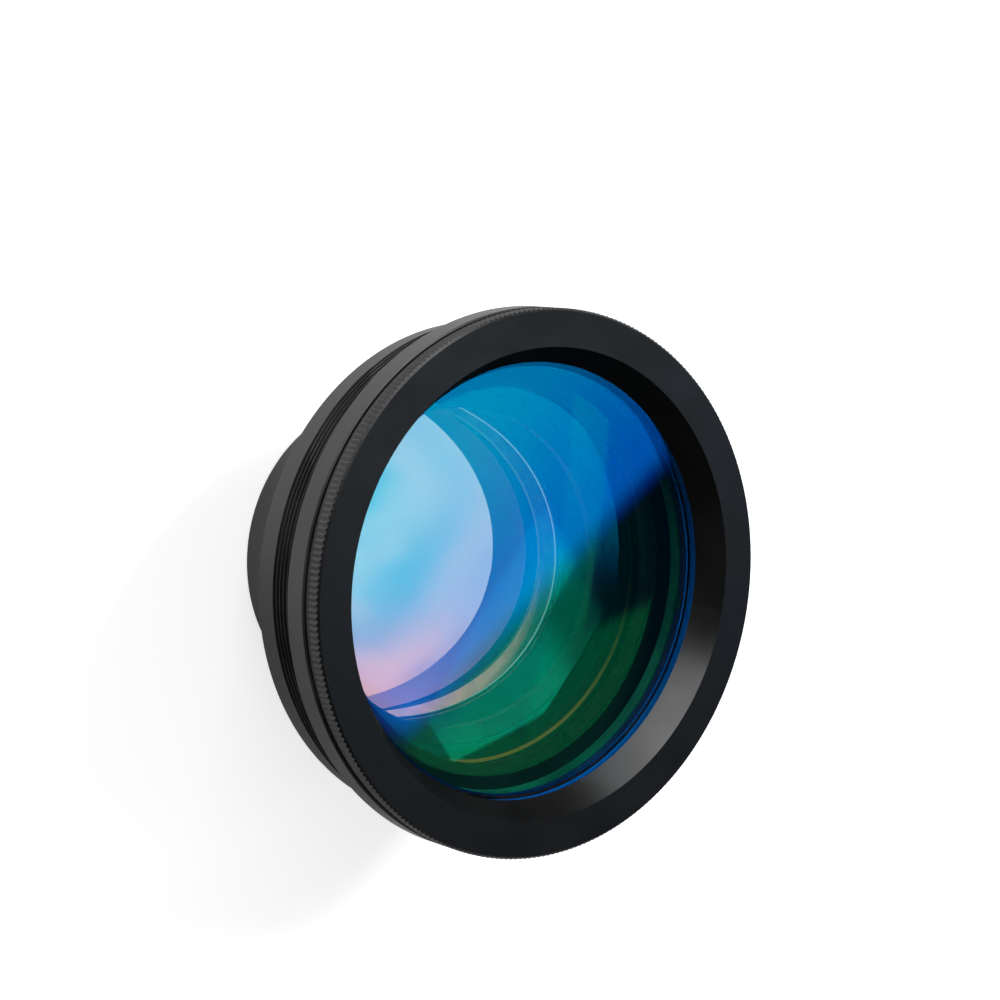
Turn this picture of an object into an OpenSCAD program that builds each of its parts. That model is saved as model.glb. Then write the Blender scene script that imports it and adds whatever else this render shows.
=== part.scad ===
// F-theta scan lens: a stepped turned barrel with four lens elements held by threaded rings,
// a male mounting thread behind a seating flange, and a protective window in a knurled holder.
// The optical axis is Z. The scanner side is at z = 0 and the window side faces up.

/* [Mounting thread and flange] */
// Diameter of the mounting thread, which the other diameters step out or in from
thread_d = 85; // [70:0.5:110]
// Width of the seating face from the thread out to the flange rim
flange_step = 2.5; // [1.5:0.1:5]
// Height of the seating flange
flange_h = 4.5; // [3.5:0.1:6]
// Chamfer on the flange rims
flange_chamfer = 0.25; // [0.1:0.05:0.5]
// Height from the flange to the end of the mounting thread
thread_h = 8.6; // [7:0.1:10]
// Pitch of the mounting thread, drawn as plain ridges without their lead
thread_pitch = 1; // [0.75:0.05:1.5]
// Depth of the relief groove under the flange
relief_depth = 0.9; // [0.6:0.1:1.4]
// Height of the relief groove
relief_h = 1.3; // [0.8:0.1:2]
// Width of the undercut from the thread out to the seating face
seat_gap = 0.2; // [0.1:0.05:0.5]
// Depth of that undercut above the seating face
seat_undercut = 0.15; // [0.1:0.05:0.4]
// Lead chamfer at the end of the mounting thread
thread_chamfer = 0.3; // [0.1:0.05:0.5]
// Wall of the barrel round the window holder
barrel_wall = 3; // [2:0.1:4]

/* [Window holder] */
// Height of the knurled head, which is flush with the flange
head_h = 2.9; // [2.4:0.1:5]
// Width of the groove between the head and the flange
neck_gap_h = 1.1; // [0.8:0.05:1.6]
// Depth of that groove
neck_depth = 1.5; // [1.2:0.05:2.5]
// Height of the bevelled mouth
mouth_h = 4.85; // [4:0.05:6]
// Width of the bevelled mouth, from its lip out to the front face
mouth_bevel = 2.7; // [2:0.1:3.5]
// Width of the lip's hold on the window
lip_cover = 0.45; // [0.3:0.05:0.8]
// Wall of the holder round the ring behind the window
holder_wall = 2; // [1.4:0.1:3]
// Number of teeth of the straight knurl
knurl_teeth = 290; // [180:2:320]
// Depth of the knurl teeth
knurl_depth = 0.28; // [0.15:0.01:0.4]
// Chamfer on the rims of the head
head_chamfer = 0.45; // [0.2:0.05:0.6]

/* [Protective window] */
// Thickness of the protective window
window_t = 4; // [3:0.1:5]
// Thickness of the gasket behind the window
gasket_t = 0.3; // [0.2:0.05:0.6]
// Height of the ring behind the window
window_ring_h = 1.6; // [1.2:0.1:2.4]
// Width of the hold of the gasket and the ring on the window
window_ring_cover = 0.85; // [0.5:0.05:2]

/* [Front lens] */
// Radial step from the holder's spigot in to the ring of the front lens
front_step = 0.5; // [0.3:0.05:1]
// Height of the edge of the front lens
front_lens_edge = 3.4; // [2.5:0.1:4.5]
// Radius of the front lens crown
front_lens_crown = 182; // [176:1:400]
// Width of the ring's hold on the front lens
front_ring_cover = 2.6; // [1.5:0.1:3.5]
// Height of the ring that holds the front lens
front_ring_h = 2; // [1.6:0.1:3]

/* [Third lens] */
// Radial step from the front lens in to the third lens
third_step = 6; // [4:0.5:9]
// Height of the edge of the third lens
third_lens_edge = 4.2; // [3.6:0.1:5]
// Radius of the third lens crown
third_lens_crown = 170; // [165:1:400]
// Radius of the hollow behind the third lens
third_lens_hollow = 300; // [200:5:600]
// Width of the flat rim round that hollow
third_rim = 2; // [1.5:0.1:3.5]
// Width of the ring's hold on the third lens
third_ring_cover = 1.2; // [0.8:0.1:2]
// Height of the ring that holds the third lens
third_ring_h = 2.2; // [1.8:0.1:3]
// Air gap between the front lens and that ring
third_ring_gap = 1.4; // [1.2:0.1:2]

/* [Second lens] */
// Radial step from the third lens in to the second lens
second_step = 6; // [4:0.5:8]
// Height of the edge of the second lens
second_lens_edge = 4; // [3.6:0.1:4.6]
// Radius of the second lens crown
second_lens_crown = 70; // [66:1:120]
// Radius of the hollow behind the second lens
second_lens_hollow = 120; // [90:1:300]
// Width of the flat rim round that hollow
second_rim = 2.5; // [2:0.1:4]
// Width of the ring's hold on the second lens
second_ring_cover = 1.8; // [1.2:0.1:3]
// Height of the ring that holds the second lens
second_ring_h = 2.2; // [1.8:0.1:2.6]
// Depth from the third lens seat to that ring
second_ring_drop = 5; // [4.6:0.1:5.6]

/* [Entrance lens] */
// Radial step from the second lens in to the entrance lens
entrance_step = 4; // [3:0.5:6]
// Height of the edge of the entrance lens
entrance_lens_edge = 4; // [3.6:0.1:4.6]
// Radius of the entrance lens crown
entrance_lens_crown = 200; // [120:1:400]
// Radius of the hollow on the scanner side of the entrance lens
entrance_lens_hollow = 60; // [56:1:120]
// Width of the flat rim round that hollow
entrance_rim = 3; // [2.5:0.1:4.5]
// Width of the seat that the entrance lens bears on
entrance_seat = 1.5; // [1.2:0.1:2.5]
// Height of the entrance ring
entrance_ring_h = 2.2; // [1.8:0.1:2.8]
// Width of the entrance ring's hold on the lens
entrance_ring_cover = 2.4; // [2.2:0.1:3.5]
// Depth of the entrance ring below the end face
entrance_recess = 0.8; // [0.4:0.1:1.4]
// Section diameter of the seal under the entrance lens
entrance_seal_t = 1.4; // [1.2:0.05:1.6]

/* [Scanner side of the barrel] */
// Radial step from the thread in to the plain pilot
pilot_step = 0.6; // [0.4:0.05:1.2]
// Height of the plain pilot
pilot_h = 4.4; // [3.5:0.1:6]
// Height of the steep shoulder
shoulder_h = 3.7; // [3:0.1:5]
// Wall round the ring of the third lens at the foot of the shoulder
shoulder_wall = 4.2; // [3:0.1:5]
// Height of the cone between the shoulder and the snout
waist_h = 4.8; // [4:0.1:6]
// Wall round the ring of the second lens where the snout starts
waist_wall = 5; // [4:0.1:7]
// Height of the snout
snout_h = 20; // [18.5:0.1:26]
// Wall round the entrance ring at the end of the snout
snout_wall = 3.7; // [2.5:0.1:5]
// Chamfer on the end rims of the snout
snout_chamfer = 0.5; // [0.2:0.05:0.9]

/* [Rings and fits] */
// Radial step from a glass element out to the thread of its ring
ring_step = 1; // [0.5:0.1:1.2]
// Width of the spanner slots in the threaded rings
slot_w = 2.6; // [1.6:0.1:4]
// Depth of the spanner slots
slot_h = 0.9; // [0.5:0.1:1.2]
// Radial gap between a lens and its bore
lens_fit = 0.05; // [0.02:0.01:0.1]
// Radial gap in the thread of a ring or of the holder
thread_fit = 0.05; // [0.02:0.01:0.1]
// Axial gap between the holder and the front ring
stack_gap = 0.2; // [0.1:0.05:0.4]
// Protective chamfer on the glass edges
glass_chamfer = 0.25; // [0.1:0.05:0.4]
// Chamfer on the rims of the threaded rings
ring_chamfer = 0.15; // [0.05:0.05:0.3]
// Lead chamfer at the mouth of the barrel's bore
bore_chamfer = 0.4; // [0.2:0.1:0.8]
// Length of the ring threads beyond their rings
thread_runout = 0.5; // [0.2:0.1:0.8]

/* [Hidden] */
$fn = 180;

cut = 0.5; // how far a cutting tool runs past the face that it cuts

// Outside diameters of the flange, the head and the groove between them
head_d = thread_d + 2 * flange_step;
neck_d = head_d - 2 * neck_depth;
head_core_d = head_d - 4 * knurl_depth - 2 * head_chamfer; // turned core inside the knurl
relief_d = thread_d - 2 * relief_depth;

// Shares of the pitch in the metric thread form
crest_share = 1 / 8;
root_share = 1 / 4;
flank_share = (1 - crest_share - root_share) / 2;
groove_depth = flank_share * thread_pitch / tan(30);

// Diameters of the holder and the window, from the outside in
spigot_d = thread_d - 2 * barrel_wall;
window_ring_d = spigot_d - 2 * holder_wall;
window_d = window_ring_d - 2 * ring_step;
lip_d = window_d - 2 * lip_cover;
mouth_d = lip_d + 2 * mouth_bevel;
window_ring_bore = window_d - 2 * window_ring_cover;

// Diameters of the lenses and their rings, from the window down
front_ring_d = spigot_d - 2 * front_step;
front_lens_d = front_ring_d - 2 * ring_step;
front_ring_bore = front_lens_d - 2 * front_ring_cover;
third_lens_d = front_lens_d - 2 * third_step;
third_hollow_d = third_lens_d - 2 * third_rim;
third_ring_d = third_lens_d + 2 * ring_step;
third_ring_bore = third_lens_d - 2 * third_ring_cover;
second_lens_d = third_lens_d - 2 * second_step;
second_hollow_d = second_lens_d - 2 * second_rim;
second_ring_d = second_lens_d + 2 * ring_step;
second_ring_bore = second_lens_d - 2 * second_ring_cover;
entrance_lens_d = second_lens_d - 2 * entrance_step;
entrance_hollow_d = entrance_lens_d - 2 * entrance_rim;
entrance_seat_bore = entrance_lens_d - 2 * entrance_seat;
entrance_ring_d = entrance_lens_d + 2 * ring_step;
entrance_ring_bore = entrance_lens_d - 2 * entrance_ring_cover;

// Outside diameters of the scanner side, from the thread down
pilot_d = thread_d - 2 * pilot_step;
shoulder_d = third_ring_d + 2 * shoulder_wall;
waist_d = second_ring_d + 2 * waist_wall;
snout_d = entrance_ring_d + 2 * snout_wall;

// Heights of the outside, from the end face of the snout up
waist_z = snout_h;
shoulder_z = waist_z + waist_h;
pilot_z = shoulder_z + shoulder_h;
thread_z = pilot_z + pilot_h;
flange_z = thread_z + thread_h;
flange_top_z = flange_z + flange_h;
head_z = flange_top_z + neck_gap_h;
front_z = head_z + head_h;

// Grooves that fit between the lead chamfer and the relief groove, with a land at each end
ridges_z = thread_z + thread_chamfer;
ridges_h = flange_z - relief_h - relief_depth - ridges_z;
groove_count = floor((ridges_h + crest_share * thread_pitch) / thread_pitch);
first_groove_z = ridges_z + (ridges_h - (groove_count - crest_share) * thread_pitch) / 2;

// Window stack, from the front face down
window_top_z = front_z - mouth_h;
gasket_top_z = window_top_z - window_t;
window_ring_top_z = gasket_top_z - gasket_t;
spigot_end_z = window_ring_top_z - window_ring_h;

// Depth of a spherical cap of radius sphere_r at the distance reach from the axis
function sag(sphere_r, reach) = sphere_r - sqrt(sphere_r * sphere_r - reach * reach);
// How far a crown falls between a ring's bore and the edge of its lens
function crown_fall(crown, lens_d, bore_d) = sag(crown, lens_d / 2) - sag(crown, bore_d / 2);

// Front lens and its ring
front_ring_top_z = spigot_end_z - stack_gap;
front_ring_z = front_ring_top_z - front_ring_h;
front_seat_z = front_ring_z - crown_fall(front_lens_crown, front_lens_d, front_ring_bore)
    - front_lens_edge;

// Third lens and its ring
third_ring_top_z = front_seat_z - third_ring_gap;
third_ring_z = third_ring_top_z - third_ring_h;
third_seat_z = third_ring_z - crown_fall(third_lens_crown, third_lens_d, third_ring_bore)
    - third_lens_edge;

// Second lens and its ring
second_ring_top_z = third_seat_z - second_ring_drop;
second_ring_z = second_ring_top_z - second_ring_h;
second_seat_z = second_ring_z - crown_fall(second_lens_crown, second_lens_d, second_ring_bore)
    - second_lens_edge;

// Entrance lens, its seal and its ring, from the end face up
entrance_ring_top_z = entrance_recess + entrance_ring_h;
entrance_edge_z = entrance_ring_top_z + entrance_seal_t;
entrance_seat_z = entrance_edge_z + entrance_lens_edge
    + crown_fall(entrance_lens_crown, entrance_lens_d, entrance_seat_bore);

// Solid of revolution from its half section
module turned(section) {
    rotate_extrude() polygon(section);
}

// Flat ring from z up
module ring(outer_d, bore_d, z, h, chamfer = 0) {
    inside = bore_d / 2;
    outside = outer_d / 2;
    turned([
        [inside, z], [outside - chamfer, z], [outside, z + chamfer],
        [outside, z + h - chamfer], [outside - chamfer, z + h], [inside, z + h]
    ]);
}

// Round-section ring whose bottom is at z
module o_ring(centre_d, section_d, z) {
    translate([0, 0, z + section_d / 2])
        rotate_extrude()
            translate([centre_d / 2, 0]) circle(d = section_d, $fn = 48);
}

// Turns what it holds upside down about half of sum_z
module upside_down(sum_z) {
    translate([0, 0, sum_z]) mirror([0, 0, 1]) children();
}

// Two opposite spanner slots, cut down from top_z across a ring
module spanner_slots(outer_d, top_z, slot_angle = 0) {
    rotate([0, 0, slot_angle])
        translate([-outer_d / 2 - cut, -slot_w / 2, top_z - slot_h])
            cube([outer_d + 2 * cut, slot_w, slot_h + cut]);
}

// Threaded ring with two spanner slots in its upper face
module slotted_ring(outer_d, bore_d, z, h, slot_angle = 0) {
    difference() {
        ring(outer_d, bore_d, z, h, ring_chamfer);
        spanner_slots(outer_d, z + h, slot_angle);
    }
}

// Flat disc of glass with chamfered edges
module glass_disc(disc_d, z, h) {
    r = disc_d / 2;
    turned([
        [0, z], [r - glass_chamfer, z], [r, z + glass_chamfer],
        [r, z + h - glass_chamfer], [r - glass_chamfer, z + h], [0, z + h]
    ]);
}

// Lens that rests on seat_z: a crown above its edge, and a hollow below unless hollow_d is 0
module lens(lens_d, edge_h, crown, seat_z, hollow = 0, hollow_d = 0) {
    r = lens_d / 2;
    crown_centre_z = seat_z + edge_h - sqrt(crown * crown - r * r);
    rotate_extrude()
        difference() {
            intersection() {
                polygon([
                    [0, seat_z], [r - glass_chamfer, seat_z], [r, seat_z + glass_chamfer],
                    [r, seat_z + edge_h - glass_chamfer],
                    [r - 2 * glass_chamfer, seat_z + edge_h + glass_chamfer],
                    [r - 2 * glass_chamfer, crown_centre_z + crown + cut],
                    [0, crown_centre_z + crown + cut]
                ]);
                translate([0, crown_centre_z]) circle(r = crown, $fn = 1440);
            }
            if (hollow_d > 0)
                translate([0, seat_z - sqrt(hollow * hollow - hollow_d * hollow_d / 4)])
                    circle(r = hollow, $fn = 1440);
        }
}

// Points of the thread grooves in the half section, from the lead chamfer up
function thread_grooves() = [
    for (i = [0 : groove_count - 1])
        let (z = first_groove_z + i * thread_pitch, r = thread_d / 2)
            each [
                [r, z],
                [r - groove_depth, z + flank_share * thread_pitch],
                [r - groove_depth, z + (flank_share + root_share) * thread_pitch],
                [r, z + (1 - crest_share) * thread_pitch]
            ]
];

// Outside of the barrel, turned from solid
module barrel_outside() {
    turned([
        [0, 0],
        [snout_d / 2 - snout_chamfer, 0],
        [snout_d / 2, snout_chamfer],
        [waist_d / 2, waist_z],
        [shoulder_d / 2, shoulder_z],
        [pilot_d / 2, pilot_z],
        [pilot_d / 2, thread_z],
        [thread_d / 2 - thread_chamfer, thread_z],
        [thread_d / 2, ridges_z],
        each thread_grooves(),
        [thread_d / 2, ridges_z + ridges_h],
        [relief_d / 2, flange_z - relief_h],
        [relief_d / 2, flange_z + seat_undercut],
        [thread_d / 2 + seat_gap, flange_z + seat_undercut],
        [thread_d / 2 + seat_gap, flange_z],
        [head_d / 2 - flange_chamfer, flange_z],
        [head_d / 2, flange_z + flange_chamfer],
        [head_d / 2, flange_top_z - flange_chamfer],
        [head_d / 2 - flange_chamfer, flange_top_z],
        [0, flange_top_z]
    ]);
}

// Stepped bore: one step for each lens and ring, with cones between them that clear the beam
module barrel_bore() {
    spigot_r = spigot_d / 2 + thread_fit;
    front_ring_r = front_ring_d / 2 + thread_fit;
    front_r = front_lens_d / 2 + lens_fit;
    third_ring_r = third_ring_d / 2 + thread_fit;
    third_r = third_lens_d / 2 + lens_fit;
    second_ring_r = second_ring_d / 2 + thread_fit;
    second_r = second_lens_d / 2 + lens_fit;
    entrance_r = entrance_lens_d / 2 + lens_fit;
    entrance_ring_r = entrance_ring_d / 2 + thread_fit;
    turned([
        [0, -cut],
        [entrance_ring_r + snout_chamfer + cut, -cut],
        [entrance_ring_r, snout_chamfer],
        [entrance_ring_r, entrance_ring_top_z + entrance_seal_t / 2],
        [entrance_r, entrance_ring_top_z + entrance_seal_t / 2],
        [entrance_r, entrance_seat_z],
        [entrance_seat_bore / 2, entrance_seat_z],
        [second_hollow_d / 2, second_seat_z],
        [second_r, second_seat_z],
        [second_r, second_ring_z - glass_chamfer],
        [second_ring_r, second_ring_z - glass_chamfer],
        [second_ring_r, second_ring_top_z + thread_runout],
        [third_hollow_d / 2, third_seat_z],
        [third_r, third_seat_z],
        [third_r, third_ring_z - glass_chamfer],
        [third_ring_r, third_ring_z - glass_chamfer],
        [third_ring_r, front_seat_z],
        [front_r, front_seat_z],
        [front_r, front_ring_z - glass_chamfer],
        [front_ring_r, front_ring_z - glass_chamfer],
        [front_ring_r, front_ring_top_z],
        [spigot_r, front_ring_top_z],
        [spigot_r, flange_top_z - bore_chamfer],
        [spigot_r + bore_chamfer + cut, flange_top_z + cut],
        [0, flange_top_z + cut]
    ]);
}

module barrel() {
    color("#5b5d60")
        difference() {
            barrel_outside();
            barrel_bore();
        }
}

// Star outline of the straight knurl
function knurl_outline() = [
    for (i = [0 : 2 * knurl_teeth - 1])
        let (r = head_d / 2 - (i % 2) * knurl_depth, a = 180 * i / knurl_teeth)
            [r * cos(a), r * sin(a)]
];

// Knurled band of the head, with both rims chamfered
module knurled_band() {
    intersection() {
        translate([0, 0, head_z]) linear_extrude(head_h) polygon(knurl_outline());
        ring(head_d + cut, head_core_d - cut, head_z, head_h, head_chamfer + cut / 2);
    }
}

// Holder: knurled head, bevelled mouth with a lip over the window, neck and threaded spigot
module window_holder() {
    window_r = window_d / 2 + lens_fit;
    ring_r = window_ring_d / 2 + thread_fit;
    color("#4d4f52") {
        knurled_band();
        turned([
            [lip_d / 2, window_top_z],
            [window_r, window_top_z],
            [window_r, window_ring_top_z],
            [ring_r, window_ring_top_z],
            [ring_r, spigot_end_z],
            [spigot_d / 2, spigot_end_z],
            [spigot_d / 2, flange_top_z],
            [neck_d / 2, flange_top_z],
            [neck_d / 2, head_z],
            [head_core_d / 2, head_z],
            [head_core_d / 2, front_z],
            [mouth_d / 2, front_z]
        ]);
    }
}

// Seal ring round the neck, between the head and the flange
module holder_seal() {
    color("#161616") o_ring(neck_d + neck_gap_h, neck_gap_h, flange_top_z);
}

module protective_window() {
    color([0.35, 0.65, 0.85, 0.5])
        glass_disc(window_d, gasket_top_z, window_t);
}

module window_gasket() {
    color("#101010") ring(window_d, window_ring_bore, window_ring_top_z, gasket_t);
}

module window_ring() {
    color("#3c3d40")
        upside_down(window_ring_top_z + spigot_end_z)
            slotted_ring(window_ring_d, window_ring_bore, spigot_end_z, window_ring_h);
}

module front_lens_ring() {
    color("#3c3d40")
        slotted_ring(front_ring_d, front_ring_bore, front_ring_z, front_ring_h, 35);
}

module front_lens() {
    color([0.35, 0.75, 0.8, 0.5])
        lens(front_lens_d, front_lens_edge, front_lens_crown, front_seat_z);
}

module third_lens_ring() {
    color("#3c3d40")
        slotted_ring(third_ring_d, third_ring_bore, third_ring_z, third_ring_h, -54);
}

module third_lens() {
    color([0.3, 0.75, 0.55, 0.5])
        lens(third_lens_d, third_lens_edge, third_lens_crown, third_seat_z,
            third_lens_hollow, third_hollow_d);
}

module second_lens_ring() {
    color("#3c3d40")
        slotted_ring(second_ring_d, second_ring_bore, second_ring_z, second_ring_h, 20);
}

module second_lens() {
    color([0.3, 0.75, 0.55, 0.5])
        lens(second_lens_d, second_lens_edge, second_lens_crown, second_seat_z,
            second_lens_hollow, second_hollow_d);
}

module entrance_lens() {
    color([0.3, 0.7, 0.6, 0.5])
        lens(entrance_lens_d, entrance_lens_edge, entrance_lens_crown, entrance_edge_z,
            entrance_lens_hollow, entrance_hollow_d);
}

module entrance_seal() {
    color("#161616")
        o_ring(entrance_lens_d - entrance_seal_t, entrance_seal_t, entrance_ring_top_z);
}

module entrance_ring() {
    color("#3c3d40")
        upside_down(entrance_ring_top_z + entrance_recess)
            slotted_ring(entrance_ring_d, entrance_ring_bore, entrance_recess,
                entrance_ring_h, 90);
}

barrel();
window_holder();
holder_seal();
protective_window();
window_gasket();
window_ring();
front_lens_ring();
front_lens();
third_lens_ring();
third_lens();
second_lens_ring();
second_lens();
entrance_lens();
entrance_seal();
entrance_ring();
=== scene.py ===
"""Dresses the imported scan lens: the barrel with its helical thread, coated glass, anodised metal,
rubber, a pale floor, soft lamps and the camera. Lengths are in millimetres, apart from object
coordinates inside a node tree, which are in metres."""
import math
from collections import namedtuple

import bpy
from mathutils import Matrix, Vector


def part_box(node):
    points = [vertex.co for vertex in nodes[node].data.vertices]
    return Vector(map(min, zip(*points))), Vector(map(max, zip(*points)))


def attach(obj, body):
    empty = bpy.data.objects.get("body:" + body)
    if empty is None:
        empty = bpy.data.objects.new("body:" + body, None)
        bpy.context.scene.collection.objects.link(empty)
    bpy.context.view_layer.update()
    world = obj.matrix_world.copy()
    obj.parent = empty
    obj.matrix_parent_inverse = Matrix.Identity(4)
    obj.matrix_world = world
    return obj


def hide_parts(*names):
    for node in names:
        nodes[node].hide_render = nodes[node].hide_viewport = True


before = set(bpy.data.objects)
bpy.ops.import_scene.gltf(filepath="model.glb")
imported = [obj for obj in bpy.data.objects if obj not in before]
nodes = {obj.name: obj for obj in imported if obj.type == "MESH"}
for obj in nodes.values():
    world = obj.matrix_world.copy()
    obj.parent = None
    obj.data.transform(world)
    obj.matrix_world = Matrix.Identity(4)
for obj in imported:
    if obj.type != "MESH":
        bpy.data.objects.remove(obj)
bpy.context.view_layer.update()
MM = 0.001
TAU = 2 * math.pi


# ---------------------------------------------------------------- objects and meshes

SHARP_DEG = 28   # faces that meet at more than this have a sharp edge between them


def new_object(name, data):
    """Object with that mesh, lamp or camera, linked to the scene."""
    obj = bpy.data.objects.new(name, data)
    bpy.context.scene.collection.objects.link(obj)
    return obj


def mesh_object(name, verts, faces):
    """Mesh piece from points in millimetres, smooth apart from its sharp edges."""
    mesh = bpy.data.meshes.new(name)
    mesh.from_pydata([(x * MM, y * MM, z * MM) for x, y, z in verts], [], faces)
    mesh.validate()
    mesh.shade_smooth()
    mesh.set_sharp_from_angle(angle=math.radians(SHARP_DEG))
    return new_object(name, mesh)


def lathe(section, segments, radius_at):
    """Closed section [(r, z), ...] turned about Z. radius_at(r, z, turn) gives the radius of
    one of its points at that share of the turn."""
    verts, faces = [], []
    count = len(section)
    for s in range(segments):
        turn = s / segments
        along_x, along_y = math.cos(TAU * turn), math.sin(TAU * turn)
        for r, z in section:
            r = radius_at(r, z, turn)
            verts.append((r * along_x, r * along_y, z))
    for s in range(segments):
        here, beside = s * count, ((s + 1) % segments) * count
        for i in range(count):
            j = (i + 1) % count
            faces.append((here + i, beside + i, beside + j, here + j))
    return verts, faces


def bottom_z(node):
    """Height in millimetres of a solid's lower end."""
    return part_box(node)[0][2] / MM


def top_z(node):
    """Height in millimetres of a solid's upper end."""
    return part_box(node)[1][2] / MM


def outer_r(node):
    """Outer radius in millimetres of a solid."""
    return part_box(node)[1][0] / MM


# ---------------------------------------------------------------- barrel with its thread

# Outside, from the end face of the snout up
SNOUT_R = 26.7
SNOUT_CHAMFER = 0.5
WAIST_R, WAIST_Z = 32, 20               # where the snout meets the cone above it
SHOULDER_R, SHOULDER_Z = 37.2, 24.8     # where that cone meets the steep shoulder
PILOT_R, PILOT_Z = 41.9, 28.5           # plain stretch between the shoulder and the thread
RELIEF_R, RELIEF_Z = 41.6, 40.2         # groove between the thread and the flange
UNDERCUT_R, UNDERCUT_Z = 42.7, 41.65    # undercut in the back face of the flange
FLANGE_R = 45
FLANGE_Z, FLANGE_TOP_Z = 41.5, 46
FLANGE_CHAMFER = 0.25

# Mounting thread, from its lead chamfer to its run-out into the relief groove
THREAD_R = 42.5
THREAD_Z, THREAD_END_Z = 32.9, 39.3
THREAD_CHAMFER = 0.3
THREAD_PITCH = 1.0
THREAD_DEPTH = 0.58
CREST_SHARE = 0.14       # share of the pitch that the flat crest takes
ROOT_SHARE = 0.22
ROWS_PER_PITCH = 16
Z_TOLERANCE = 1e-6

# Bore, from the mouth down
SPIGOT_R = 39.5          # threaded spigot of the window holder
BORE_CHAMFER = 0.4
FRONT_STEP_Z = 36.83     # where the bore widens from the front lens to its ring
FIT = 0.05               # radial gap round each lens and ring
RING_DROP = 0.25         # how far the bore of a ring goes on below it
THREAD_RUNOUT = 0.5      # how far it goes on above the ring of the second lens
THIRD_SEAT_R = 30
SECOND_SEAT_R = 23.5
ENTRANCE_SEAT_Z = 8.56

# Land between the second lens and the entrance lens: a step, then an edge that is rubbed round,
# down to the seat of the entrance lens
LAND = [(21.25, 9.62), (21.25, 9.12), (21.1, 9.11), (20.95, 9.07), (20.78, 8.98),
        (20.62, 8.84), (20.53, 8.7), (20.5, ENTRANCE_SEAT_Z)]


def thread_radius(r, z, turn):
    """Radius with the thread cut: ridges that climb by one pitch a turn, at full depth from one
    end of the thread to the other. Points off the thread keep their radius."""
    on_thread = THREAD_Z - Z_TOLERANCE <= z <= THREAD_END_Z + Z_TOLERANCE
    if not on_thread or r < THREAD_R - THREAD_DEPTH:
        return r
    phase = (z / THREAD_PITCH - turn) % 1.0
    from_root = abs(phase - 0.5) * 2     # 1 at the crest, 0 at the root
    flank = (from_root - ROOT_SHARE) / (1 - ROOT_SHARE - CREST_SHARE)
    cut = THREAD_DEPTH * (1 - min(1.0, max(0.0, flank)))
    return min(r, THREAD_R - cut)


def thread_rows():
    """Close rows of points along the thread, up its lead chamfer and on along its crest."""
    length = THREAD_END_Z - THREAD_Z
    rows = int(length * ROWS_PER_PITCH / THREAD_PITCH)
    heights = [THREAD_Z + length * k / rows for k in range(rows + 1)]
    return [(min(THREAD_R, THREAD_R - THREAD_CHAMFER + (z - THREAD_Z)), z) for z in heights]


def bore_points():
    """Bore from the mouth down: a step for each lens and ring, which the frame gives."""
    spigot_r = SPIGOT_R + FIT
    front_ring_r, front_r = outer_r("front_lens_ring") + FIT, outer_r("front_lens") + FIT
    third_ring_r, third_r = outer_r("third_lens_ring") + FIT, outer_r("third_lens") + FIT
    second_ring_r, second_r = outer_r("second_lens_ring") + FIT, outer_r("second_lens") + FIT
    entrance_ring_r, entrance_r = outer_r("entrance_ring") + FIT, outer_r("entrance_lens") + FIT
    front_ring_top, front_seat = top_z("front_lens_ring"), bottom_z("front_lens")
    third_step, third_seat = bottom_z("third_lens_ring") - RING_DROP, bottom_z("third_lens")
    second_step, second_seat = bottom_z("second_lens_ring") - RING_DROP, bottom_z("second_lens")
    second_thread_end = top_z("second_lens_ring") + THREAD_RUNOUT
    seal_middle = (bottom_z("entrance_seal") + top_z("entrance_seal")) / 2
    down_to_second_lens = [
        (spigot_r + BORE_CHAMFER, FLANGE_TOP_Z), (spigot_r, FLANGE_TOP_Z - BORE_CHAMFER),
        (spigot_r, front_ring_top), (front_ring_r, front_ring_top),
        (front_ring_r, FRONT_STEP_Z), (front_r, FRONT_STEP_Z),
        (front_r, front_seat), (third_ring_r, front_seat),
        (third_ring_r, third_step), (third_r, third_step),
        (third_r, third_seat), (THIRD_SEAT_R, third_seat),
        (second_ring_r, second_thread_end),
        (second_ring_r, second_step), (second_r, second_step),
        (second_r, second_seat), (SECOND_SEAT_R, second_seat)]
    entrance = [
        (entrance_r, ENTRANCE_SEAT_Z), (entrance_r, seal_middle), (entrance_ring_r, seal_middle),
        (entrance_ring_r, SNOUT_CHAMFER), (entrance_ring_r + SNOUT_CHAMFER, 0)]
    return down_to_second_lens + LAND + entrance


SIDE, THREAD, BORE = 0, 1, 2   # material slots of the barrel


def barrel_section():
    """Closed profile of the barrel and the material slot of the edge after each point."""
    below = [(SNOUT_R - SNOUT_CHAMFER, 0), (SNOUT_R, SNOUT_CHAMFER), (WAIST_R, WAIST_Z),
             (SHOULDER_R, SHOULDER_Z), (PILOT_R, PILOT_Z)]
    thread = [(PILOT_R, THREAD_Z)] + thread_rows() + [(RELIEF_R, RELIEF_Z)]
    flange = [(RELIEF_R, UNDERCUT_Z), (UNDERCUT_R, UNDERCUT_Z), (UNDERCUT_R, FLANGE_Z),
              (FLANGE_R - FLANGE_CHAMFER, FLANGE_Z), (FLANGE_R, FLANGE_Z + FLANGE_CHAMFER),
              (FLANGE_R, FLANGE_TOP_Z - FLANGE_CHAMFER),
              (FLANGE_R - FLANGE_CHAMFER, FLANGE_TOP_Z)]
    bore = bore_points()
    slots = ([SIDE] * len(below) + [THREAD] * len(thread) + [SIDE] * len(flange)
             + [BORE] * len(bore))
    return below + thread + flange + bore, slots


SEGMENTS = 300
section, edge_slots = barrel_section()
barrel = mesh_object("barrel_threaded", *lathe(section, SEGMENTS, thread_radius))
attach(barrel, "root")
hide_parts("barrel")


# ---------------------------------------------------------------- node trees

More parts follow.
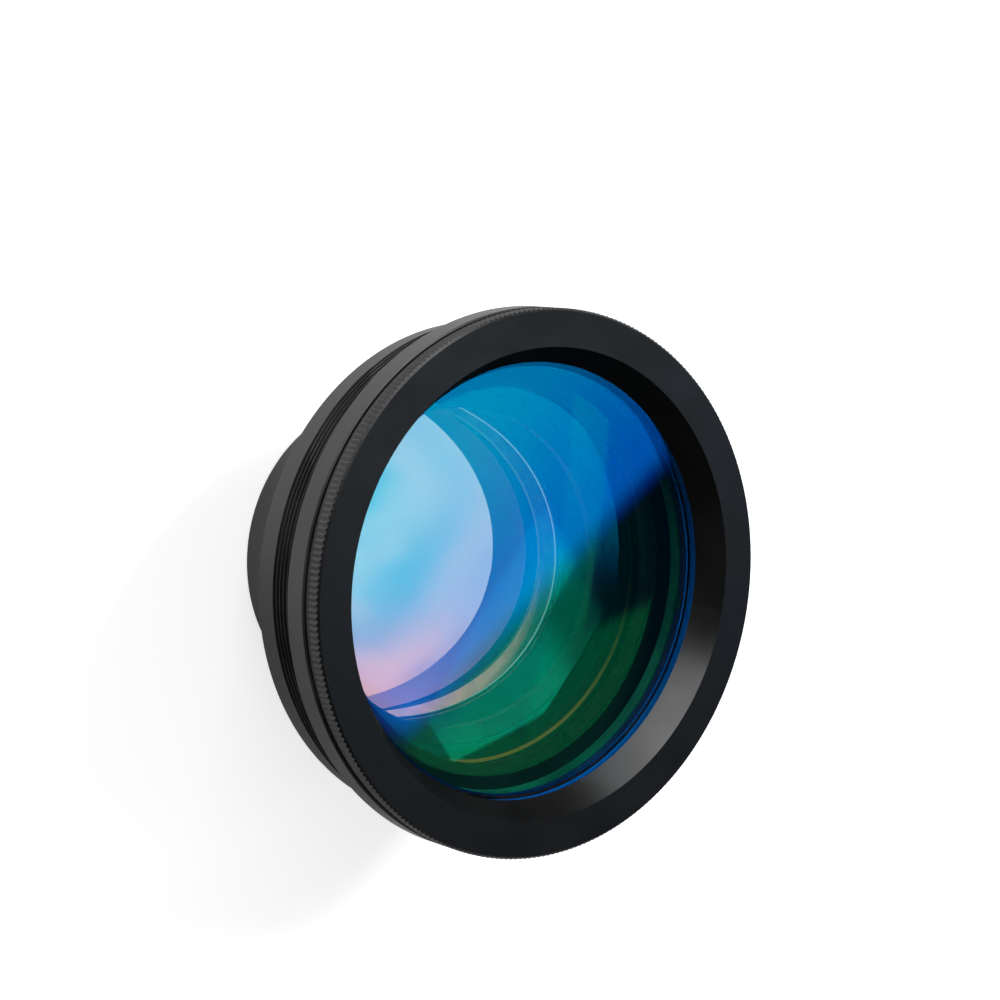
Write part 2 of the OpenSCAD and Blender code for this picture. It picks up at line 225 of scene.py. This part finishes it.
class Nodes:
    """Wires the node tree of a new material, or of a lamp or a world."""

    def __init__(self, name, owner=None):
        owner = owner or bpy.data.materials.new(name)
        owner.use_nodes = True
        self.owner = owner
        self.tree = owner.node_tree
        self.tree.nodes.clear()
        kind = {"World": "World", "AreaLight": "Light"}.get(type(owner).__name__, "Material")
        self.out = self.tree.nodes.new("ShaderNodeOutput" + kind)

    def add(self, kind, inputs=None, **props):
        """New node with its properties set and its inputs, by name or number, set or linked."""
        node = self.tree.nodes.new("ShaderNode" + kind)
        for key, value in props.items():
            setattr(node, key, value)
        for key, value in (inputs or {}).items():
            self.set(node, key, value)
        return node

    def set(self, node, key, value):
        """Links an input to an output, or gives it a value. A colour may have three parts."""
        socket = node.inputs[key]
        if hasattr(value, "is_output"):
            self.tree.links.new(value, socket)
        elif isinstance(value, tuple) and len(value) == 3 and socket.type == "RGBA":
            socket.default_value = (*value, 1)
        else:
            socket.default_value = value

    def math(self, op, a, b=0.0):
        """Output of a maths node."""
        return self.add("Math", {0: a, 1: b}, operation=op).outputs[0]

    def product(self, first, *others):
        """Product of two or more numbers."""
        for other in others:
            first = self.math("MULTIPLY", first, other)
        return first

    def vector_math(self, op, a, b):
        """Vector maths node."""
        return self.add("VectorMath", {0: a, 1: b}, operation=op)

    def ramp(self, value, low, high, to_low=0.0, to_high=1.0, kind="SMOOTHSTEP"):
        """Fades from to_low to to_high while the value goes from low to high. With low above
        high it falls as the value grows."""
        inputs = {0: value, 1: low, 2: high, 3: to_low, 4: to_high}
        return self.add("MapRange", inputs, interpolation_type=kind).outputs[0]

    def mix(self, factor, a, b):
        """Colour a where the factor is 0, and b where it is 1."""
        node = self.add("Mix", data_type="RGBA")
        self.set(node, 0, factor)
        self.set(node, 6, a)
        self.set(node, 7, b)
        return node.outputs[2]

    def noise(self, vector, scale, detail=3.0, rough=0.5):
        """Cloudy noise with values round one half."""
        inputs = {"Vector": vector, "Scale": scale, "Detail": detail, "Roughness": rough}
        return self.add("TexNoise", inputs).outputs[0]

    def bump(self, relief, strength, distance):
        """Normal that a relief gives, whose distance is in millimetres."""
        inputs = {"Strength": strength, "Distance": distance * MM, "Height": relief}
        return self.add("Bump", inputs).outputs[0]

    def place(self):
        """Object coordinates."""
        return self.add("TexCoord").outputs["Object"]

    def split(self, vector):
        """X, Y and Z of a vector."""
        return self.add("SeparateXYZ", {0: vector}).outputs

    def position(self):
        """Object coordinates as (vector, x, y, z, distance from the axis)."""
        vector = self.place()
        x, y, z = self.split(vector)
        squares = self.math("ADD", self.product(x, x), self.product(y, y))
        return vector, x, y, z, self.math("SQRT", squares)

    def normal(self):
        """Normal of the surface."""
        return self.add("NewGeometry").outputs["Normal"]

    def surface(self, shader):
        """Gives the tree its shader."""
        self.tree.links.new(shader.outputs[0], self.out.inputs["Surface"])


def grey(level):
    """Colour without a hue."""
    return (level, level, level)


# ---------------------------------------------------------------- metal and rubber

# Corner of a turned piece in a colour of its own, rubbed to bare metal where metallic: where it is,
# how wide it shows and how it looks
Corner = namedtuple("Corner", "r z width colour metallic")

CLOUD_SCALE, BLAST_SCALE, LINE_SCALE = 90, 5200, 4200   # noises of the anodised metal
BLAST_RELIEF = 0.25      # share of the bead blasting in the relief
ROUGH_CLOUDS = 0.04      # how far clouds change the roughness either way
ROUGH_BLAST = 0.12       # how far the bead blasting changes it
FACES_IN = -0.5          # outward part of the normal below which a face looks towards the axis
CORNER_CORE = 0.8        # share of a corner's width that takes its colour in full
CORNER_POLISH = 0.3      # how much smoother a worn corner is


def anodised(name, dark, light, rough, lines=0.12, spec=0.5, corners=(), inner=None):
    """Bead-blasted, black anodised aluminium with faint turning lines and corners in colours of
    their own, rubbed to bare metal where metallic. inner, if given, is painted light: a colour
    painted on the faces that look towards the axis."""
    n = Nodes(name)
    vector, x, y, z, distance = n.position()
    cloud = n.noise(vector, CLOUD_SCALE, detail=4)
    blast = n.noise(vector, BLAST_SCALE, detail=2, rough=0.6)
    turned = n.add("CombineXYZ", {0: distance, 2: z}).outputs[0]
    line = n.noise(turned, LINE_SCALE, detail=2)
    colour = n.mix(n.ramp(cloud, 0.35, 0.7), dark, light)
    # Painted light: the faces that look towards the axis take the colour inner
    if inner:
        nx, ny, _ = n.split(n.normal())
        outward = n.math("ADD", n.product(x, nx), n.product(y, ny))
        inside = n.math("LESS_THAN", outward, n.product(distance, FACES_IN))
        colour = n.mix(inside, colour, inner)
    uneven = n.math("ADD", n.ramp(cloud, 0.3, 0.7, -ROUGH_CLOUDS, ROUGH_CLOUDS), rough)
    blasted = n.product(n.math("SUBTRACT", blast, 0.5), ROUGH_BLAST)
    roughness = n.math("ADD", uneven, blasted)
    shader = n.add("BsdfPrincipled", {"Specular IOR Level": spec})
    for corner in corners:
        at = (corner.r * MM, 0, corner.z * MM)
        off = n.vector_math("DISTANCE", turned, at).outputs["Value"]
        near = n.ramp(off, corner.width * MM, CORNER_CORE * corner.width * MM)
        colour = n.mix(near, colour, corner.colour)
        if corner.metallic:
            n.set(shader, "Metallic", near)
            roughness = n.math("SUBTRACT", roughness, n.product(near, CORNER_POLISH))
    relief = n.math("ADD", n.product(blast, BLAST_RELIEF), n.product(line, lines))
    n.set(shader, "Base Color", colour)
    n.set(shader, "Roughness", roughness)
    n.set(shader, "Normal", n.bump(relief, strength=0.35, distance=0.02))
    n.surface(shader)
    return n.owner


def rubber(name):
    """Black rubber with a faintly uneven skin."""
    n = Nodes(name)
    skin = n.noise(n.place(), scale=900)
    n.surface(n.add("BsdfPrincipled", {
        "Base Color": n.mix(skin, grey(0.004), grey(0.014)),
        "Normal": n.bump(skin, strength=0.3, distance=0.03),
        "Roughness": n.ramp(skin, 0.2, 0.8, 0.5, 0.7)}))
    return n.owner


# ---------------------------------------------------------------- glass

FILM_NM = 80.0                    # thickness of a coating
FILM_IOR = 0.95                   # its index of refraction, as a share of the glass's
FILM_DRIFT = 0.25                 # how unevenly its colour changes towards the rim
HAZE = 0.012                      # roughness of the haziest patches of polished glass
GLASS_SHADOW = (0.93, 0.95, 0.95)
RIM_LINE_FULL, RIM_LINE_WIDTH = 0.3, 0.4   # full and faded width of a ground rim's edge line
RIM_LINE_LEAN = (-0.5, -0.25)     # slope of its normal at its inner and its outer side
RIM_ROUGH, RIM_LINE_POLISH = 0.6, 0.2      # roughness of the ground zone, and less on its line


def coated_glass(name, split_z, upper, lower, reach, ior, rim=None, clear=(1, 1, 1)):
    """Clear glass under a thin coating. upper and lower give each face's coating as the colours
    that it reflects at the axis and at the radius reach; split_z is a height between the two
    faces. rim gives ground_rim its values."""
    n = Nodes(name)
    position = n.position()
    vector, _, _, z, distance = position
    drift = n.product(n.math("SUBTRACT", n.noise(vector, scale=18, detail=2), 0.5), FILM_DRIFT)
    outwards = n.ramp(n.math("ADD", n.math("DIVIDE", distance, reach * MM), drift), 0.0, 1.0)
    on_top = n.math("GREATER_THAN", z, split_z * MM)
    polish = n.ramp(n.noise(vector, scale=260), 0.45, 0.75, 0.0, HAZE)
    glass = n.add("BsdfPrincipled", {
        "Base Color": clear, "Transmission Weight": 1.0, "Roughness": polish, "IOR": ior,
        "Specular Tint": n.mix(on_top, n.mix(outwards, *lower), n.mix(outwards, *upper)),
        "Thin Film Thickness": FILM_NM, "Thin Film IOR": ior * FILM_IOR})
    if rim:
        ground_rim(n, glass, position, polish, clear, **rim)
    shade = n.add("BsdfTransparent", {"Color": GLASS_SHADOW})
    shadow = n.add("LightPath").outputs["Is Shadow Ray"]
    n.surface(n.add("MixShader", {0: shadow, 1: glass.outputs[0], 2: shade.outputs[0]}))
    return n.owner


def ground_rim(n, glass, position, polish, clear, inner_r, below_z, dark, light, line):
    """Makes a glass dull, in colours from dark to light, outside inner_r and below below_z. The
    inner edge of that zone is a rounded, shining line with its own colour."""
    vector, x, y, z, distance = position
    inner, outer = inner_r * MM, (inner_r + RIM_LINE_WIDTH) * MM
    ground = n.product(n.math("GREATER_THAN", distance, inner),
                       n.math("LESS_THAN", z, below_z * MM))
    edge = n.product(ground, n.ramp(distance, (inner_r + RIM_LINE_FULL) * MM, outer, 1.0, 0.0))
    lean = n.ramp(distance, inner, outer, *RIM_LINE_LEAN, kind="LINEAR")
    lean_x = n.math("DIVIDE", n.product(x, lean), distance)
    lean_y = n.math("DIVIDE", n.product(y, lean), distance)
    leaning = n.add("CombineXYZ", {0: lean_x, 1: lean_y, 2: 1.0}).outputs[0]
    rounded = n.add("VectorMath", {0: leaning}, operation="NORMALIZE").outputs[0]
    normals = n.add("Mix", {0: edge, 4: n.normal(), 5: rounded}, data_type="VECTOR")
    grain = n.mix(n.ramp(n.noise(vector, scale=700, detail=4), 0.3, 0.7), dark, light)
    dull = n.math("MAXIMUM", polish, n.product(ground, RIM_ROUGH))
    n.set(glass, "Normal", normals.outputs[1])
    n.set(glass, "Metallic", edge)
    n.set(glass, "Base Color", n.mix(ground, clear, n.mix(edge, grain, line)))
    n.set(glass, "Transmission Weight", n.math("SUBTRACT", 1.0, ground))
    n.set(glass, "Roughness", n.math("SUBTRACT", dull, n.product(edge, RIM_LINE_POLISH)))


# ---------------------------------------------------------------- the object's materials

RUBBED_LAND = Corner(r=20.8, z=8.85, width=0.45, colour=grey(0.95), metallic=True)
# An olive band round the seat of the third lens, in flat colour, not bare metal
THIRD_SEAT = Corner(r=THIRD_SEAT_R, z=bottom_z("third_lens"), width=0.45,
                    colour=(0.10, 0.11, 0.02), metallic=False)
SATIN = {"dark": (0.010, 0.010, 0.011), "light": (0.018, 0.018, 0.019)}

metal_side = anodised("anodised_side", **SATIN, rough=0.40)
# Darker than the side: painted shade in the grooves of the thread
metal_thread_painted_shade = anodised("anodised_thread_painted_shade", dark=grey(0.004), light=(0.009, 0.009, 0.010),
                        rough=0.40, spec=0.38)
metal_bore = anodised("anodised_bore", dark=(0.001, 0.012, 0.006), light=(0.002, 0.016, 0.010),
                      rough=0.6, spec=0.1, corners=(RUBBED_LAND, THIRD_SEAT))
metal_face = anodised("anodised_face", dark=grey(0.004), light=grey(0.006), rough=0.34,
                      lines=0.05, spec=0.45)
ring_metal = anodised("anodised_rings", dark=(0.002, 0.003, 0.003), light=(0.004, 0.006, 0.006),
                      rough=0.5, spec=0.12)
# Painted light: the bore of the entrance ring is painted pale mauve
entrance_metal_painted_light = anodised("anodised_entrance_painted_light", **SATIN, rough=0.45, spec=0.3,
                          inner=(0.6, 0.42, 0.6))
# Painted reflection: the window ring is painted blue for the blue of the coated window above it
blue_metal_painted_reflection = anodised("anodised_blue_painted_reflection", dark=(0.0, 0.01, 0.04), light=(0.0, 0.015, 0.06),
                      rough=0.5, spec=0.2)
# Painted reflection: the front lens ring is painted green for the green of the coated glass round
# it
green_metal_painted_reflection = anodised("anodised_green_painted_reflection", dark=(0.0, 0.06, 0.035), light=(0.0, 0.11, 0.06),
                       rough=0.5, spec=0.2)
seal = rubber("seal_rubber")

# Coatings: the colours that a face reflects at the axis and at its reach
BLUE = ((0.0, 0.46, 1.0), (0.0, 0.42, 1.0))
TEAL = ((0.0, 1.0, 0.95), (0.0, 1.0, 0.6))
FAINT = ((0.0, 0.05, 0.05), (0.0, 0.05, 0.04))
CYAN = ((0.0, 1.0, 1.0), (0.0, 0.9, 1.0))
PALE = ((0.0, 0.15, 0.2), (0.0, 0.15, 0.2))
PEARL = ((0.01, 0.1, 0.1), (0.02, 0.1, 0.1))

# Painted reflection: the window's ground edge is painted blue for the blue of its coating
BLUE_RIM_PAINTED_REFLECTION = {"inner_r": 35.3, "below_z": 45.1, "dark": (0.0, 0.04, 0.2),
            "light": (0.0, 0.06, 0.25), "line": (0.0, 0.05, 0.22)}
PINK_RIM = {"inner_r": 19.0, "below_z": 4.5, "dark": (0.50, 0.42, 0.40),
            "light": (0.70, 0.58, 0.54), "line": grey(0.95)}

window_glass = coated_glass("window_coating", split_z=43, upper=BLUE, lower=BLUE, reach=36,
                            ior=2.0, rim=BLUE_RIM_PAINTED_REFLECTION)
front_glass = coated_glass("front_lens_coating", split_z=34.5, upper=FAINT, lower=TEAL, reach=36,
                           ior=1.75)
third_glass = coated_glass("third_lens_coating", split_z=28.5, upper=CYAN, lower=PALE, reach=31,
                           ior=1.75)
second_glass = coated_glass("second_lens_coating", split_z=16.5, upper=PEARL, lower=PALE,
                            reach=25, ior=1.9)
entrance_glass = coated_glass("entrance_lens_coating", split_z=8.0, upper=PEARL, lower=PEARL,
                              reach=22, ior=1.6, rim=PINK_RIM, clear=(1.0, 0.9, 0.84))

MATERIALS = {
    "window_holder": metal_face, "holder_seal": seal, "window_gasket": seal,
    "entrance_seal": seal, "window_ring": blue_metal_painted_reflection, "front_lens_ring": green_metal_painted_reflection,
    "third_lens_ring": ring_metal, "second_lens_ring": ring_metal,
    "entrance_ring": entrance_metal_painted_light, "protective_window": window_glass,
    "front_lens": front_glass, "third_lens": third_glass, "second_lens": second_glass,
    "entrance_lens": entrance_glass}
NO_SHADOW = ("protective_window", "front_lens", "third_lens", "second_lens")


def dress(obj, *materials):
    """Gives a piece its materials in place of those it has."""
    obj.data.materials.clear()
    for material in materials:
        obj.data.materials.append(material)


dress(barrel, metal_side, metal_thread_painted_shade, metal_bore)
barrel.data.polygons.foreach_set("material_index", edge_slots * SEGMENTS)
for node, material in MATERIALS.items():
    dress(nodes[node], material)
for node in NO_SHADOW:
    nodes[node].visible_shadow = False


# ---------------------------------------------------------------- camera

IMAGE_PX = 1000
SENSOR_WIDTH = 36
FOCAL_PX = 2500               # focal length in pixels of the image
FRONT_PX = (549.6, 586.0)     # where the centre of the front face is seen
DISTANCE = 405.0              # from the camera to that centre, along the view axis
TILT = math.radians(38.15)    # how far the optical axis leans from the view axis
ROLL = math.radians(9.15)     # which way it leans in the image, down from the right
FRONT_Z = 50.0
CLIP_START = 10


def place_camera():
    """Camera whose image shows the front face at FRONT_PX, at its distance and tilt."""
    # Each of the object's axes as its parts to the right, down and ahead of the camera
    axis_z = Vector((math.sin(TILT) * math.cos(ROLL), math.sin(TILT) * math.sin(ROLL),
                     -math.cos(TILT)))
    axis_x = Vector((math.cos(TILT) * math.cos(ROLL), math.cos(TILT) * math.sin(ROLL),
                     math.sin(TILT)))
    axis_y = axis_z.cross(axis_x)
    front = Vector(((FRONT_PX[0] - IMAGE_PX / 2) * DISTANCE / FOCAL_PX,
                    (FRONT_PX[1] - IMAGE_PX / 2) * DISTANCE / FOCAL_PX, DISTANCE))
    camera_at = Vector((-front.dot(axis_x), -front.dot(axis_y), FRONT_Z - front.dot(axis_z)))
    right = Vector((axis_x.x, axis_y.x, axis_z.x))
    down = Vector((axis_x.y, axis_y.y, axis_z.y))
    ahead = Vector((axis_x.z, axis_y.z, axis_z.z))
    data = bpy.data.cameras.new("camera")
    data.sensor_width = SENSOR_WIDTH
    data.lens = SENSOR_WIDTH * FOCAL_PX / IMAGE_PX
    data.clip_start = CLIP_START * MM
    camera = new_object("camera", data)
    rotation = Matrix((right, -down, -ahead)).transposed()
    camera.matrix_world = Matrix.Translation(camera_at * MM) @ rotation.to_4x4()
    bpy.context.scene.camera = camera


place_camera()


# ---------------------------------------------------------------- floor

FLOOR_HALF = 3000
FLOOR_Z = -0.02               # just under the end face, which would flicker in the same plane
# The painted glow that the floor gives off where it is seen through the glass
SWIRL_CENTRE = (0.0, 4 * MM, 0.0)
PALE_FROM, PALE_TO = 12 * MM, 19 * MM      # distances from the axis over which it pales
WARM_FROM, WARM_TO = -3 * MM, -16 * MM     # stretch of Y over which it turns warm


def floor_material():
    """White to the camera. Seen through the lens it is darker paper with painted light on it: a
    glow of teal swirls that pale away from the axis and turn mauve and tan towards -Y."""
    n = Nodes("floor_white")
    vector, _, y, _, distance = n.position()
    paper = n.mix(n.noise(vector, scale=4), (0.78, 0.78, 0.79), grey(0.82))
    path = n.add("LightPath")
    through_glass = path.outputs["Is Transmission Ray"]
    plain = n.add("BsdfDiffuse", {"Color": n.mix(through_glass, paper, (0.06, 0.1, 0.1))})
    # Painted light, seen only through the glass: the floor glows in swirls of colour
    centred = n.vector_math("SUBTRACT", vector, SWIRL_CENTRE).outputs[0]
    swirl = n.add("TexWave", {"Vector": centred, "Scale": 36.0, "Distortion": 5.0,
                              "Detail": 2.0, "Detail Scale": 2.0},
                  wave_type="RINGS", rings_direction="Z").outputs[1]
    teal = n.mix(swirl, (0.05, 0.40, 0.5), (0.26, 0.52, 0.56))
    paling = n.ramp(distance, PALE_FROM, PALE_TO, 0.0, 0.6)
    teal = n.mix(paling, teal, (0.36, 0.46, 0.55))
    warm = n.mix(swirl, (0.34, 0.29, 0.32), (0.62, 0.44, 0.30))
    painted_glow = n.mix(n.ramp(y, WARM_FROM, WARM_TO), teal, warm)
    shown = n.mix(path.outputs["Is Camera Ray"], n.mix(through_glass, grey(0), painted_glow),
                  grey(0.62))
    shine = n.add("Emission", {"Color": shown, "Strength": 1.0})
    n.surface(n.add("AddShader", {0: plain.outputs[0], 1: shine.outputs[0]}))
    return n.owner


floor_corners = [(-FLOOR_HALF, -FLOOR_HALF, FLOOR_Z), (FLOOR_HALF, -FLOOR_HALF, FLOOR_Z),
                 (FLOOR_HALF, FLOOR_HALF, FLOOR_Z), (-FLOOR_HALF, FLOOR_HALF, FLOOR_Z)]
floor = mesh_object("floor", floor_corners, [(0, 1, 2, 3)])
dress(floor, floor_material())


# ---------------------------------------------------------------- lamps

TARGET = Vector((0, 0, 45))    # middle of the window, which the lamps face


def lamp_object(name, size, level, shader=None):
    """Rectangular lamp, size in millimetres, whose face has the radiance level. shader, if
    given, makes its strength and colour from the lamp's own millimetre coordinates."""
    wide, tall = size
    data = bpy.data.lights.new(name, "AREA")
    data.shape = "RECTANGLE"
    data.size, data.size_y = wide * MM, tall * MM
    data.energy = level * math.pi * wide * tall * MM * MM
    if shader:
        n = Nodes(name, data)
        across, up, _ = n.split(n.add("NewGeometry").outputs["Parametric"])
        strength, tint = shader(n, n.product(across, wide), n.product(up, tall))
        n.surface(n.add("Emission", {"Color": tint, "Strength": strength}))
    return new_object(name, data)


def soft_lamp(name, at, size, level):
    """Lamp at a point in millimetres, facing the window."""
    lamp = lamp_object(name, size, level)
    at = Vector(at) * MM
    turn = (at - TARGET * MM).to_track_quat("Z", "Y").to_matrix().to_4x4()
    lamp.matrix_world = Matrix.Translation(at) @ turn
    return lamp


soft_lamp("overhead", at=(-560, 830, 250), size=(1300, 500), level=6.0)
soft_box = soft_lamp("soft_box", at=(620, 1080, 1580), size=(700, 700), level=24.0)
soft_box.visible_glossy = False
soft_box.visible_transmission = False

# The lamp that the window mirrors towards the camera. Its edges are given in its own plane,
# from the line that leaves the window in the direction with this X and Y.
KEY_DIR = (0.605, -0.02)
KEY_TILT = math.radians(34.2)
KEY_DISTANCE = 2000
KEY_LEVEL = 2.3
KEY_X, KEY_Y = (-292, 95), (-190, 430)
KEY_WIDE, KEY_TALL = KEY_X[1] - KEY_X[0], KEY_Y[1] - KEY_Y[0]

# Its shading, where x and y are measured from its lower left corner
KEY_RIGHT_FADE = (KEY_WIDE - 32, KEY_WIDE)        # in x, to nothing
KEY_LOWER_FADE = (0, 45)                          # in y, from nothing
KEY_CORNER_LEAN, KEY_CORNER = 0.62, (187, 203)    # slant and place of the upper left corner's cut
KEY_DIM_X, KEY_DIM_Y = (185, 160), (250, 130)     # where the dim lower left part starts
KEY_DIM_SHARE = 0.8
KEY_BLUE_X = (KEY_WIDE - 190, KEY_WIDE - 22)      # from white to light blue
KEY_DEEP_X, KEY_DEEP_Y = (KEY_WIDE - 24, KEY_WIDE - 4), (70, 0)   # on to deep blue


def key_shader(n, x, y):
    """Blue and faded towards the right and lower edges, dimmer in the lower left where only
    the front lens looks, and cut off at the upper left corner."""
    slant = n.math("ADD", x, n.product(n.math("SUBTRACT", KEY_TALL, y), KEY_CORNER_LEAN))
    low = n.product(n.ramp(x, *KEY_DIM_X), n.ramp(y, *KEY_DIM_Y))
    dimmed = n.math("SUBTRACT", 1.0, n.product(low, KEY_DIM_SHARE))
    strength = n.product(n.ramp(x, *KEY_RIGHT_FADE, 1.0, 0.0), n.ramp(y, *KEY_LOWER_FADE),
                         n.ramp(slant, *KEY_CORNER), dimmed)
    tint = n.mix(n.ramp(x, *KEY_BLUE_X), (1, 1, 1), (0.0, 0.42, 0.95))
    deep = n.math("MAXIMUM", n.ramp(x, *KEY_DEEP_X), n.ramp(y, *KEY_DEEP_Y))
    return strength, n.mix(deep, tint, (0.0, 0.2, 0.9))


def place_key():
    """Key lamp at its distance along KEY_DIR, turned by KEY_TILT about that line."""
    out = Vector((*KEY_DIR, math.sqrt(1 - KEY_DIR[0] ** 2 - KEY_DIR[1] ** 2)))
    across = Vector((out.z, 0, -out.x)).normalized()
    along = out.cross(across)
    key_x = across * math.cos(KEY_TILT) - along * math.sin(KEY_TILT)
    key_y = across * math.sin(KEY_TILT) + along * math.cos(KEY_TILT)
    at = TARGET + out * KEY_DISTANCE + key_x * sum(KEY_X) / 2 + key_y * sum(KEY_Y) / 2
    turn = Matrix((key_x, key_y, out)).transposed().to_4x4()
    key = lamp_object("key", (KEY_WIDE, KEY_TALL), KEY_LEVEL, key_shader)
    key.matrix_world = Matrix.Translation(at * MM) @ turn


place_key()


# ---------------------------------------------------------------- world

# What rays that left through the glass see, as parts X, Y and Z of their direction. Each pair
# is where a patch fades in, or out where the text says so.
CEILING_Z = (0.5, 0.6)
WALL_FROM_X = (0.22, 0.28)
WALL_OUT_X = (0.545, 0.56)
WALL_SLOPE, WALL_OVER_LINE = 0.37, (-0.170, -0.145)   # above a sloping line in X and Y
WALL_BESIDE_X = (0.482, 0.492)                        # or beyond this X
SIDE_FROM_Y, SIDE_OUT_X = (0.13, 0.16), (0.78, 0.7)   # a part that goes further in X
STRIP_NEAR_X, STRIP_FAR_X = (-0.08, -0.16), (-0.62, -0.5)
STRIP_HALF_Y = (0.45, 0.38)
WALL_COLOUR, STRIP_COLOUR = (0.0, 0.7, 0.42), grey(6.0)
GREY, DIFFUSE_GREY = 0.03, 0.27       # for every ray, and what a diffuse ray sees on top of it


def studio():
    """White to the camera, grey to diffuse rays and nearly black to the rest. Rays that left
    through the glass also see a green wall beside the key lamp, and a bright strip over the
    camera, which the rubbed edges mirror."""
    world = bpy.data.worlds.new("studio")
    bpy.context.scene.world = world
    w = Nodes("studio", world)
    path = w.add("LightPath")
    x, y, z = w.split(w.add("TexCoord").outputs["Generated"])
    overhead = w.ramp(z, *CEILING_Z)
    no_diffuse = w.math("LESS_THAN", path.outputs["Diffuse Depth"], 0.5)
    through_glass = w.product(path.outputs["Is Transmission Ray"], no_diffuse)
    over_line = w.math("SUBTRACT", y, w.product(x, WALL_SLOPE))
    wall = w.math("MAXIMUM", w.ramp(over_line, *WALL_OVER_LINE), w.ramp(x, *WALL_BESIDE_X))
    side = w.product(w.ramp(y, *SIDE_FROM_Y), w.ramp(x, *SIDE_OUT_X))
    reach = w.math("MAXIMUM", w.ramp(x, *WALL_OUT_X, 1.0, 0.0), side)
    wall = w.product(wall, w.ramp(x, *WALL_FROM_X), reach, overhead, through_glass)
    strip = w.product(w.ramp(x, *STRIP_NEAR_X), w.ramp(x, *STRIP_FAR_X),
                      w.ramp(w.math("ABSOLUTE", y), *STRIP_HALF_Y), through_glass, overhead)
    dim = w.math("ADD", w.product(path.outputs["Is Diffuse Ray"], DIFFUSE_GREY), GREY)
    seen = w.mix(wall, w.mix(dim, grey(0), (1, 1, 1)), WALL_COLOUR)
    seen = w.mix(strip, seen, STRIP_COLOUR)
    seen = w.mix(path.outputs["Is Camera Ray"], seen, (1, 1, 1))
    w.surface(w.add("Background", {"Color": seen, "Strength": 1.0}))


studio()
bpy.context.scene.view_settings.view_transform = "Standard"
